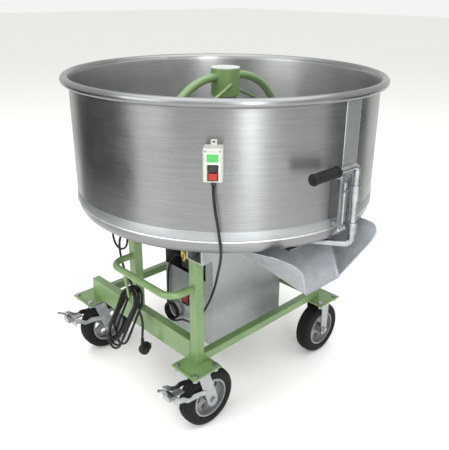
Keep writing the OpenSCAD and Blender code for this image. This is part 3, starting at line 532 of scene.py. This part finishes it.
def finishNode(name, material, edge):
    # the loose triangles are welded by a modifier, then sharp edges are rounded by the given millimetres
    node = nodes[name]
    node.data.materials.clear()
    node.data.materials.append(material)
    node.data.polygons.foreach_set("use_smooth", np.full(len(node.data.polygons), edge == 0))
    weld = node.modifiers.new("weld", "WELD")
    weld.merge_threshold = 0.00002
    if edge > 0:
        bevel = node.modifiers.new("softEdges", "BEVEL")
        bevel.width = edge / 1000
        bevel.segments = 2
        bevel.limit_method = "ANGLE"
        bevel.angle_limit = math.radians(40)
        bevel.use_clamp_overlap = True
    else:
        split = node.modifiers.new("creases", "EDGE_SPLIT")
        split.split_angle = math.radians(35)


for name, (material, edge) in nodeFinish.items():
    finishNode(name, material, edge)
print("CAD nodes finished")


def bentSheet(front, thickness):
    # a rows x columns sheet given a thickness behind it: the front, the back and the strips round the edge
    front = np.asarray(front, float)
    rows, columns = front.shape[:2]
    facing = np.cross(np.gradient(front, axis=0), np.gradient(front, axis=1))
    facing /= np.linalg.norm(facing, axis=2)[..., None] + 1e-12
    points = np.vstack([front.reshape(-1, 3), (front - facing * thickness).reshape(-1, 3)])
    count, grid = rows * columns, np.arange(rows * columns).reshape(rows, columns)
    faces = gridFaces(rows, columns)
    edges = [grid[0], grid[:, -1], grid[-1][::-1], grid[::-1, 0]]
    strips = [np.stack([e[1:], e[:-1], e[:-1] + count, e[1:] + count], axis=1) for e in edges]
    return points, np.vstack([faces, faces[:, ::-1] + count] + strips)


def roundedBox(low, high, radius, dish=0.0):
    # p = q + r (s - q) / |s - q|, where q is the nearest point of the inner box; dish hollows the +x face
    low, high = np.asarray(low, float), np.asarray(high, float)
    inner = [np.concatenate([np.linspace(a, a + radius, 5)[:-1], np.linspace(a + radius, b - radius, 9),
                             np.linspace(b - radius, b, 5)[1:]]) for a, b in zip(low, high)]
    points, faces, start = [], [], 0
    for axis in range(3):
        u, v = np.meshgrid(inner[(axis + 1) % 3], inner[(axis + 2) % 3], indexing="ij")
        for edge in (low[axis], high[axis]):
            side = np.empty(u.shape + (3,))
            side[..., axis], side[..., (axis + 1) % 3], side[..., (axis + 2) % 3] = edge, u, v
            nearest = np.clip(side, low + radius, high - radius)
            away = side - nearest
            side = nearest + radius * away / np.linalg.norm(away, axis=2)[..., None]
            points.append(side.reshape(-1, 3))
            faces.append(gridFaces(*u.shape) + start)
            start += u.size
    points = np.vstack(points)
    if dish:
        middle, half = (low + high) / 2, (high - low) / 2
        reach = np.clip(1 - ((points[:, 1:] - middle[1:]) / half[1:]) ** 2, 0, 1).prod(axis=1)
        points[:, 0] -= dish * reach * (points[:, 0] > middle[0])
    return points, np.vstack(faces)


def joined(parts):
    # several meshes in one, each with its face numbers shifted
    points, faces, start = [], [], 0
    for p, f in parts:
        points.append(np.asarray(p, float).reshape(-1, 3))
        faces += [[start + k for k in face] for face in f]
        start += len(points[-1])
    return np.vstack(points), faces


# Drum wall: brushed sheet, its edge rolled outward into a tube; a lapped strip in front, a weld bead below,
# coloured near white as a painted highlight

drumShape = {
    "radius": 0.510, "sheet": 0.002, "seam": 0.686, "rim": 1.074, "rimRadius": 0.013, "turns": 360,
    "wave": 0.0004, "bandTop": 0.718, "bandThickness": 0.0013, "beadRadius": 0.0026, "ripples": 420,
    "strip": (-0.027, 0.046), "stripThickness": 0.0008,
}


def makeDrum(settings):
    r, t, rim, k = settings["radius"], settings["sheet"], settings["rim"], settings["rimRadius"]
    rise = np.linspace(settings["seam"], rim - 0.008, 24)
    curl = np.radians(np.linspace(158, -158, 36))
    profile = [(r - t, z) for z in rise]
    profile += [(r - t + 0.0003, rim - 0.002), (r + k + k * math.cos(curl[0]) - 0.0006, rim + 0.003)]
    profile += [(r + k + k * math.cos(a), rim + k * math.sin(a)) for a in curl] + [(r, z) for z in rise[::-1]]
    profile = np.array(profile)
    a = np.linspace(0, 2 * math.pi, settings["turns"], endpoint=False)[:, None]
    ripple = np.sin(7 * a + 1.9) * np.sin(9 * profile[None, :, 1])
    wave = settings["wave"] * (np.sin(3 * a + 0.4) + 0.6 * ripple)
    points, faces = spun(profile, settings["turns"], True, wave)
    points = moved(points, axisPoint)
    sheet = newPiece("drumSheet", points, faces, stainless, "frame", "stainless", ("drum_wall",))
    sheet.data.materials.append(litInnerSteel)  # the inside takes the paler copy of the steel, painted light against the painted shade of the outside
    middles = np.zeros(len(sheet.data.polygons) * 3)
    sheet.data.polygons.foreach_get("center", middles)
    reach = np.linalg.norm(middles.reshape(-1, 3)[:, :2] - axisPoint[:2], axis=1)
    sheet.data.polygons.foreach_set("material_index", (reach < r - t / 2).astype(int))
    s, top, d = settings["seam"], settings["bandTop"], settings["bandThickness"]
    band = [(r - 0.0002, s), (r + d - 0.0006, s), (r + d, s + 0.001)]
    band += [(r + d, top - 0.0015), (r + d - 0.0009, top), (r - 0.0002, top)]
    points, faces = spun(band, settings["turns"])
    newPiece("drumBandRing", moved(points, axisPoint), faces, bandSteel, "frame", "band_steel", ("drum_band",))
    b = settings["beadRadius"]
    around = np.radians(np.arange(0, 360, 45))
    bead = [(r + 0.0008 + b * math.cos(q), s + 0.0006 + b * math.sin(q)) for q in around]
    turns = settings["ripples"] * 3
    swell = 0.0004 * np.sin(2 * math.pi * np.arange(turns)[:, None] / 3)
    points, faces = spun(bead, turns, True, swell)
    # the bead's near-white colour is a painted highlight: the bright line along the seam
    newPiece("drumWeldBeadPaintedHighlight", moved(points, axisPoint), faces, beadHighlightSteel, "frame", "stainless")
    low, high = settings["strip"]
    x = np.linspace(low, high, 24)
    z = np.linspace(top + 0.004, rim - 0.012, 40)
    lift = np.minimum(1, np.minimum(x - low, high - x) / 0.001)[None, :] * settings["stripThickness"] + 0.0006
    y = -np.sqrt((r + lift) ** 2 - x[None, :] ** 2) + 0 * z[:, None]
    grid = np.stack([x[None, :] + 0 * z[:, None], y + axisY, z[:, None] + 0 * x[None, :]], axis=-1)
    points, faces = bentSheet(grid, 0.002)
    newPiece("drumLapStrip", points, faces, bandSteel, "frame", "stainless")


# Chute: one sheet folded along two lines, its flared corners cut round

chuteShape = {
    "middle": -0.060, "lipHalf": 0.082, "lip": (-0.500, 0.491), "slope": 0.82, "back": -0.325, "top": 0.640,
    "flareUp": (0.70, 1.10), "flareBack": (0.208, -0.12), "sheet": 0.002, "folds": (4, 1),
    "tabs": ((-248, -259), (148, 161)), "tabY": -385, "tabHalf": 12, "tabHeight": (639, 647), "tabEdge": 1.5,
    "front": [
        (-0.470, 0.640), (-0.488, 0.6398), (-0.508, 0.637), (-0.524, 0.630), (-0.534, 0.620),
        (-0.538, 0.607), (-0.536, 0.590), (-0.524, 0.5567), (-0.512, 0.524), (-0.500, 0.491),
    ],
}


def makeChute(settings):
    lipY, lipZ = settings["lip"]
    front = evenSteps(smoothPath([(0, *p) for p in settings["front"]], 0.004), 0.004)[:, 1:]
    u = np.linspace(0, 1, len(front))[:, None]
    backFloor = lipZ + settings["slope"] * (settings["back"] - lipY)
    back = np.hstack([0 * u + settings["back"], settings["top"] + (backFloor - settings["top"]) * u])
    across = np.linspace(0, 1, 36)

    def half(side, edge):
        return (settings["lipHalf"] + settings["flareBack"][side] * (edge[:, 0] - lipY)
                + settings["flareUp"][side] * (edge[:, 1] - lipZ))

    def section(edge):
        left = np.column_stack([settings["middle"] - half(0, edge), edge])
        right = np.column_stack([settings["middle"] + half(1, edge), edge])[::-1]
        floor = left[-1] + (right[0] - left[-1]) * across[1:-1, None]
        return np.vstack([left, floor, right])

    first, last = section(front), section(back)
    v = np.linspace(0, 1, 40)[None, :, None]
    grid = first[:, None] + (last - first)[:, None] * v
    fold = len(front) - 1
    for middle, passes in ((fold, settings["folds"][0]), (fold + 35, settings["folds"][1])):
        for _ in range(passes * 2):
            part = grid[middle - passes:middle + passes + 1]
            part[1:-1] = (part[:-2] + 2 * part[1:-1] + part[2:]) / 4
    points, faces = bentSheet(grid, settings["sheet"])
    parts = [(moved(points, axisPoint), faces)]
    for spots in settings["tabs"]:  # short lugs fold over from the walls and bolt up to the pan
        reach, y, (bottom, top) = settings["tabHalf"], settings["tabY"], settings["tabHeight"]
        low, high = (min(spots) - reach, y - reach, bottom), (max(spots) + reach, y + reach, top)
        points, faces = roundedBox(low, high, settings["tabEdge"])
        parts.append((moved(points / 1000, axisPoint), faces))
    newPiece("chuteSheet", *joined(parts), chuteSteel, "frame", "galvanised", ("chute",))


# Lever grip: a barrel of rubber with a flange at each end and rings between

gripShape = {
    "start": (-205, -545, 878), "length": 0.110, "body": 0.0138, "swell": 0.0012, "flange": 0.0168,
    "rings": 16, "hole": 0.0042,
}


def makeGrip(settings):
    n, length = 220, settings["length"]
    z = np.linspace(0.006, length - 0.006, n)
    barrel = settings["body"] + settings["swell"] * np.sin(math.pi * z / length)
    between = (z > 0.014) * (z < length - 0.014)
    rings = 0.0007 * (np.cos(2 * math.pi * settings["rings"] * z / length) > 0.2) * between
    f, h = settings["flange"], settings["hole"]
    profile = [(0, 0.004), (h, 0.004), (h, 0.0003), (h + 0.0006, 0), (f - 0.0012, 0)]
    profile += [(f - 0.0003, 0.0006), (f, 0.0016), (f, 0.0040), (f - 0.0008, 0.0052)]
    profile += list(zip(barrel + rings, z))
    profile += [(f - 0.0008, length - 0.0052), (f, length - 0.004), (f, length - 0.0014), (f - 0.001, length)]
    profile += [(0.0102, length), (0.0102, length - 0.003)]
    points, faces = spun(profile, 96, False)
    points = moved(points, at(*settings["start"]), turnY(90))
    newPiece("gripSleeve", points, faces, rubber, "gate", "grip_rubber", ("lever_grip",))


# Tyres: pneumatic, with grooves round the tread, small side lugs and a bead at the rim

tyreShape = {
    "half": [
        (66, 23), (66.5, 25.5), (69, 28), (74, 29.3), (80, 29.8), (86, 29), (91, 26.8), (95, 23.6), (97.4, 20),
        (98.6, 16),
    ],
    "tread": [
        (99.2, 13), (97.6, 12.4), (97.6, 10.6), (99.6, 10), (100, 6.5), (99.8, 3.1), (97.8, 2.6), (97.8, 1.2),
        (99.8, 0.7),
    ],
    "turns": 384, "lugs": 64, "lugDepth": 0.0012,
}


def makeTyre(name, body, centre, settings):
    half = smoothPath([(0, *p) for p in settings["half"]], 2.2)[:, 1:]
    side = np.vstack([half, settings["tread"]])
    profile = np.vstack([side, side[::-1] * [1, -1]]) / 1000
    a = np.arange(settings["turns"])[:, None]
    slot = (a * settings["lugs"] % settings["turns"] == 0) * 1.0
    slot = np.maximum(slot, np.roll(slot, 1, axis=0))
    outer = (np.abs(profile[:, 1]) > 0.0125) & (profile[:, 0] > 0.0915)
    points, faces = spun(profile, settings["turns"], True, -settings["lugDepth"] * slot * outer[None, :])
    points = moved(points, at(*centre), turnX(90))
    newPiece(name + "TyreCasing", points, faces, tyreSkin, body, "tyre_rubber", (name + "_tyre",))


# Buttons with a dished face, and the blank green label above them

switchShape = {"angle": 223, "foot": (0.5103, 0.878)}


def onSwitch(points, settings):
    # from the switch's own frame, x outward and z up, to its place on the wall
    radius, height = settings["foot"]
    return moved(moved(points, (radius, 0, height)) @ turnZ(settings["angle"]).T, axisPoint)


def makeSwitch(settings):
    for name, low, material, slot, node, body in (
        ("startKey", 27, blackAbs, "button_black", "on_button", "on_push"),
        ("stopKey", 6, redAbs, "button_red", "off_button", "off_push"),
    ):
        points, faces = roundedBox((26, -11.5, low), (51, 11.5, low + 18), 1.6, 1.0)
        newPiece(name, onSwitch(points / 1000, settings), faces, material, body, slot, (node,))
    points, faces = roundedBox((53.2, -15, 55), (54.3, 15, 76), 0.5)
    newPiece("switchLabel", onSwitch(points / 1000, settings), faces, greenLabel, "frame", "switch_plastic")
    screws = []
    for y, z in ((-19.5, 83), (19.5, 83), (-19.5, 4.5), (19.5, 4.5)):
        disc, faces = spun([(0, 1.2), (2.4, 1.2), (3.1, 0.7), (3.2, -0.6), (0, -0.6)], 24, False)
        screws.append((moved(disc, (48.2, y, z), turnY(90)) / 1000, faces))
    points, faces = joined(screws)
    newPiece("switchScrews", onSwitch(points, settings), faces, zinc, "frame", "zinc_plated")


# Plug: a round grounded plug, its tapered sleeve above, pins pointing away

plugShape = {"spot": (-410, -30, 186), "turn": 30}


def makePlug(settings):
    sleeve = [(0, 50), (4.8, 50), (5.4, 49)]
    for k in range(6):
        wider, lower = 0.35 * k, 4.6 * k
        sleeve += [(5.6 + wider, 46 - lower), (4.7 + wider, 44.6 - lower), (4.8 + wider, 43.4 - lower)]
    sleeve += [(8, 18), (8.6, 12), (9, 6), (0, 6)]
    sleevePoints, sleeveFaces = spun(sleeve, 32, False)
    body = [(0, 0), (13.5, 0), (16.6, 1), (18.3, 3), (19, 6.5), (19, 13), (18.4, 15.6), (17.5, 17)]
    body += [(17.5, 31), (16.9, 32.6), (15, 33), (15, 30), (0, 30)]
    bodyPoints, bodyFaces = spun(body, 64, False)
    lay = turnZ(settings["turn"]) @ turnY(90)
    points, faces = joined([(sleevePoints, sleeveFaces), (bodyPoints @ lay.T, bodyFaces)])
    points = moved(points / 1000, at(*settings["spot"]))
    shell = newPiece("plugShell", points, faces, rubber, "frame", "cord_rubber", ("mains_plug",))
    pins = []
    for y in (-9.5, 9.5):
        pin, pinFaces = spun([(0, 29), (2.4, 29), (2.4, 49), (1.8, 51), (0.9, 51.8), (0, 52)], 20, False)
        pins.append((moved(pin, (0, y, 0)) @ lay.T / 1000, pinFaces))
    for x in (-15.8, 15.8):
        clip, clipFaces = roundedBox((x - 0.8, -3, 4), (x + 0.8, 3, 32.4), 0.5)
        pins.append((clip @ lay.T / 1000, clipFaces))
    points, faces = joined(pins)
    points = moved(points, at(*settings["spot"]))
    metal = newPiece("plugPins", points, faces, zinc, "frame", "zinc_plated")
    return [shell, metal]


# near-white zinc for the seam bead: a painted highlight standing in for the bright line where the bead catches
# the light
beadHighlightSteel = zincPlate("weldBeadPaintedHighlight", "#e6e8e8", "#c2c6c8")
chuteSteel = zincPlate("chuteSheetZinc", "#b4b7bd", "#a1a5ab", 0.7, 0.38, 0.55)
makeDrum(drumShape)
makeChute(chuteShape)
makeGrip(gripShape)
for name in ("near", "left", "right", "back"):
    low, high = (np.array(corner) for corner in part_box(name + "_tyre"))
    makeTyre(name, name + "_wheel", ((low + high) / 2 - axisPoint) * 1000, tyreShape)
makeSwitch(switchShape)
plugPieces = makePlug(plugShape)

# Small fittings: the screw and the round cap on the housing's edge

fittingShape = {
    "spots": (((-178.5, -118, 377), 5.2), ((-178.5, -104, 331), 7.5)),
}


def makeFittings(settings):
    parts = []
    for (x, y, z), radius in settings["spots"]:
        outline = [(0, 3.4), (radius * 0.55, 3.2), (radius * 0.9, 2.0)]
        outline += [(radius, 0.4), (radius, -0.4), (0, -0.4)]
        points, faces = spun(outline, 28, False)
        parts.append((moved(points / 1000, at(x, y, z), turnY(-90)), faces))
    points, faces = joined(parts)
    newPiece("housingScrews", points, faces, zinc, "frame", "zinc_plated")


makeFittings(fittingShape)
print("new pieces ready")


# A plain pale floor, and soft studio light: a wide panel above, one from the left and one behind the camera

floorSettings = {
    "size": 30.0,
    "surface": {"Base Color": "#f4f4f2", "Roughness": 0.85, "Specular IOR Level": 0.1},
}
lightSettings = [
    {"name": "topPanel", "place": (-0.3, -0.4, 3.8), "aim": (0.0, 0.0, 0.6),
     "size": (5.0, 5.0), "power": 165},
    {"name": "frontPanel", "place": (-1.75, -3.3, 1.7), "aim": (0.0, 0.0, 0.8),
     "size": (0.8, 2.6), "power": 58},
    {"name": "leftPanel", "place": (-3.6, 0.4, 1.9), "aim": (0.0, 0.0, 0.6),
     "size": (2.0, 2.0), "power": 45},
]

# dark cards beside the object, seen only as reflections in the bare metal: name, place, turn, (width, height)
cardSettings = [
    ("leftCard", (-1.35, 1.25, 0.0), 45, (2.2, 1.0)),
    ("rightCard", (1.45, -1.35, 0.0), 45, (1.6, 0.8)),
]


def makeStage():
    # floor, lights, cards and an even white surround
    size = floorSettings["size"]
    mesh = bpy.data.meshes.new("studioFloor")
    corners = [(-size, -size, 0), (size, -size, 0), (size, size, 0), (-size, size, 0)]
    mesh.from_pydata(corners, [], [(0, 1, 2, 3)])
    floor = bpy.data.objects.new("studioFloor", mesh)
    bpy.context.collection.objects.link(floor)
    material, tree = startMaterial("matteBackdrop")
    finishMaterial(tree, floorSettings["surface"])
    mesh.materials.append(material)
    cardMaterial, cardTree = startMaterial("darkCard")
    finishMaterial(cardTree, {"Base Color": "#303030", "Roughness": 0.9})
    for light in lightSettings:
        data = bpy.data.lights.new(light["name"], "AREA")
        data.shape = "RECTANGLE"
        data.size, data.size_y = light["size"]
        data.energy = light["power"]
        lamp = bpy.data.objects.new(light["name"], data)
        bpy.context.collection.objects.link(lamp)
        place = Vector(light["place"])
        aim = (Vector(light["aim"]) - place).to_track_quat("-Z", "Y")
        lamp.matrix_world = Matrix.Translation(place) @ aim.to_matrix().to_4x4()
    for name, place, turn, size in cardSettings:
        x, z = size[0] / 2, size[1]
        card = bpy.data.meshes.new(name)
        card.from_pydata([(-x, 0, 0), (x, 0, 0), (x, 0, z), (-x, 0, z)], [], [(0, 1, 2, 3)])
        board = bpy.data.objects.new(name, card)
        bpy.context.collection.objects.link(board)
        board.matrix_world = Matrix.Translation(Vector(place)) @ Matrix.Rotation(math.radians(turn), 4, "Z")
        card.materials.append(cardMaterial)
        board.visible_camera = board.visible_diffuse = board.visible_shadow = False
    world = bpy.data.worlds.new("studioAir")
    world.use_nodes = True
    world.node_tree.nodes["Background"].inputs[0].default_value = linear("#f4f4f2")
    world.node_tree.nodes["Background"].inputs[1].default_value = 1.0
    bpy.context.scene.world = world


makeStage()
print("stage ready")
